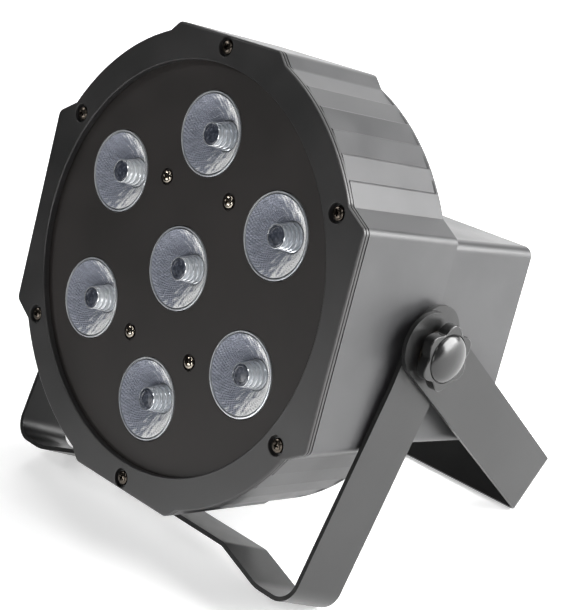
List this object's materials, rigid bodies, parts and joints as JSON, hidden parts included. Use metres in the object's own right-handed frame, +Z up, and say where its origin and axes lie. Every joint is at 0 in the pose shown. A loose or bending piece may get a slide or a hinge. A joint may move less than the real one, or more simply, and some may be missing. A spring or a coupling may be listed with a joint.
{
  "type": "par can light",
  "caption": "Flat round LED stage light with clear lenses in a dark panel, a boxy rear housing and two strap brackets clamped by side knobs.",
  "frame": {"origin": "on the floor below the middle of the whole model's box", "axes": "+X along the brackets' pivot axis, towards the side on the right when the lenses are faced; +Y horizontally towards the rear; +Z up"},
  "size_m": [0.2404, 0.1716, 0.2264],
  "materials": {
    "housing_plastic": "satin, fine eggshell grain",
    "bezel_plastic": "satin",
    "panel_plastic": "matt",
    "painted_steel": "satin powder coat",
    "knob_plastic": "semi-gloss",
    "socket_plastic": "satin",
    "clear_lens": "clear moulded",
    "bronzed_screw": "dark bronzed",
    "nickel": "bright nickel plate",
    "aluminium": "plain extruded",
    "circuit_board": "solder mask",
    "brass": "machined"
  },
  "bodies": {
    "housing": {"front_bezel": "bezel_plastic", "lens_panel": "panel_plastic", "main_housing": "housing_plastic", "rear_panel": "painted_steel", "bezel_screw_1": "bronzed_screw", "bezel_screw_2": "bronzed_screw", "bezel_screw_3": "bronzed_screw", "bezel_screw_4": "bronzed_screw", "bezel_screw_5": "bronzed_screw", "bezel_screw_6": "bronzed_screw", "panel_screw_1": "nickel", "panel_screw_2": "nickel", "panel_screw_3": "nickel", "panel_screw_4": "nickel", "rear_screw_1": "bronzed_screw", "rear_screw_2": "bronzed_screw", "rear_screw_3": "bronzed_screw", "rear_screw_4": "bronzed_screw", "lens_1": "clear_lens", "lens_2": "clear_lens", "lens_3": "clear_lens", "lens_4": "clear_lens", "lens_5": "clear_lens", "lens_6": "clear_lens", "lens_7": "clear_lens", "lens_holder_1": "panel_plastic", "lens_holder_2": "panel_plastic", "lens_holder_3": "panel_plastic", "lens_holder_4": "panel_plastic", "lens_holder_5": "panel_plastic", "lens_holder_6": "panel_plastic", "lens_holder_7": "panel_plastic", "led_board": "circuit_board", "heatsink": "aluminium", "driver_board": "circuit_board", "control_board": "circuit_board", "display_window": "clear_lens", "power_inlet": "socket_plastic", "dmx_in": "socket_plastic", "dmx_out": "socket_plastic", "fan_frame": "socket_plastic", "pivot_spacer_right": "socket_plastic", "threaded_insert_right": "brass", "pivot_spacer_left": "socket_plastic", "threaded_insert_left": "brass"},
    "front_bracket": {"front_bracket": "painted_steel"},
    "rear_bracket": {"rear_bracket": "painted_steel"},
    "right_washer": {"clamp_washer_right": "nickel"},
    "right_knob": {"clamp_knob_right": "knob_plastic", "clamp_stud_right": "nickel"},
    "left_washer": {"clamp_washer_left": "nickel"},
    "left_knob": {"clamp_knob_left": "knob_plastic", "clamp_stud_left": "nickel"},
    "fan": {"fan_rotor": "socket_plastic"},
    "latch": {"dmx_latch": "nickel"},
    "fuse_drawer": {"fuse_drawer": "socket_plastic"},
    "menu_button_1": {"menu_button_1": "knob_plastic"},
    "menu_button_2": {"menu_button_2": "knob_plastic"},
    "menu_button_3": {"menu_button_3": "knob_plastic"},
    "menu_button_4": {"menu_button_4": "knob_plastic"}
  },
  "joints": [
    {"name": "front_bracket_tilt", "type": "hinge", "parent": "housing", "child": "front_bracket", "pos_m": [0, 0.00666, 0.10828], "axis": [1, 0, 0], "range_deg": [-3.5, 50]},
    {"name": "rear_bracket_tilt", "type": "hinge", "parent": "housing", "child": "rear_bracket", "pos_m": [0, 0.00666, 0.10828], "axis": [1, 0, 0], "range_deg": [-50, 140]},
    {"name": "right_knob_advance", "type": "slide", "parent": "housing", "child": "right_washer", "axis": [1, 0, 0], "range_m": [0, 0.00375]},
    {"name": "right_knob_turn", "type": "hinge", "parent": "right_washer", "child": "right_knob", "pos_m": [0, 0.00666, 0.10828], "axis": [1, 0, 0], "range_deg": [0, 1080]},
    {"name": "left_knob_advance", "type": "slide", "parent": "housing", "child": "left_washer", "axis": [-1, 0, 0], "range_m": [0, 0.00375]},
    {"name": "left_knob_turn", "type": "hinge", "parent": "left_washer", "child": "left_knob", "pos_m": [0, 0.00666, 0.10828], "axis": [-1, 0, 0], "range_deg": [0, 1080]},
    {"name": "fan_spin", "type": "hinge", "parent": "housing", "child": "fan", "pos_m": [0.056, 0.04601, 0.0678], "axis": [0, 0.9176, -0.3976], "continuous": true},
    {"name": "latch_press", "type": "slide", "parent": "housing", "child": "latch", "axis": [0, -0.9176, 0.3976], "range_m": [0, 0.0015], "stiffness_N_per_m": 400},
    {"name": "fuse_drawer_pull", "type": "slide", "parent": "housing", "child": "fuse_drawer", "axis": [0, 0.9176, -0.3976], "range_m": [0, 0.012]},
    {"name": "button_1_press", "type": "slide", "parent": "housing", "child": "menu_button_1", "axis": [0, -0.9176, 0.3976], "range_m": [0, 0.0008], "stiffness_N_per_m": 400},
    {"name": "button_2_press", "type": "slide", "parent": "housing", "child": "menu_button_2", "axis": [0, -0.9176, 0.3976], "range_m": [0, 0.0008], "stiffness_N_per_m": 400},
    {"name": "button_3_press", "type": "slide", "parent": "housing", "child": "menu_button_3", "axis": [0, -0.9176, 0.3976], "range_m": [0, 0.0008], "stiffness_N_per_m": 400},
    {"name": "button_4_press", "type": "slide", "parent": "housing", "child": "menu_button_4", "axis": [0, -0.9176, 0.3976], "range_m": [0, 0.0008], "stiffness_N_per_m": 400}
  ],
  "couplings": [
    {"joint": "right_knob_turn", "follows": "right_knob_advance", "rad_per_m": 5026.5},
    {"joint": "left_knob_turn", "follows": "left_knob_advance", "rad_per_m": 5026.5}
  ]
}
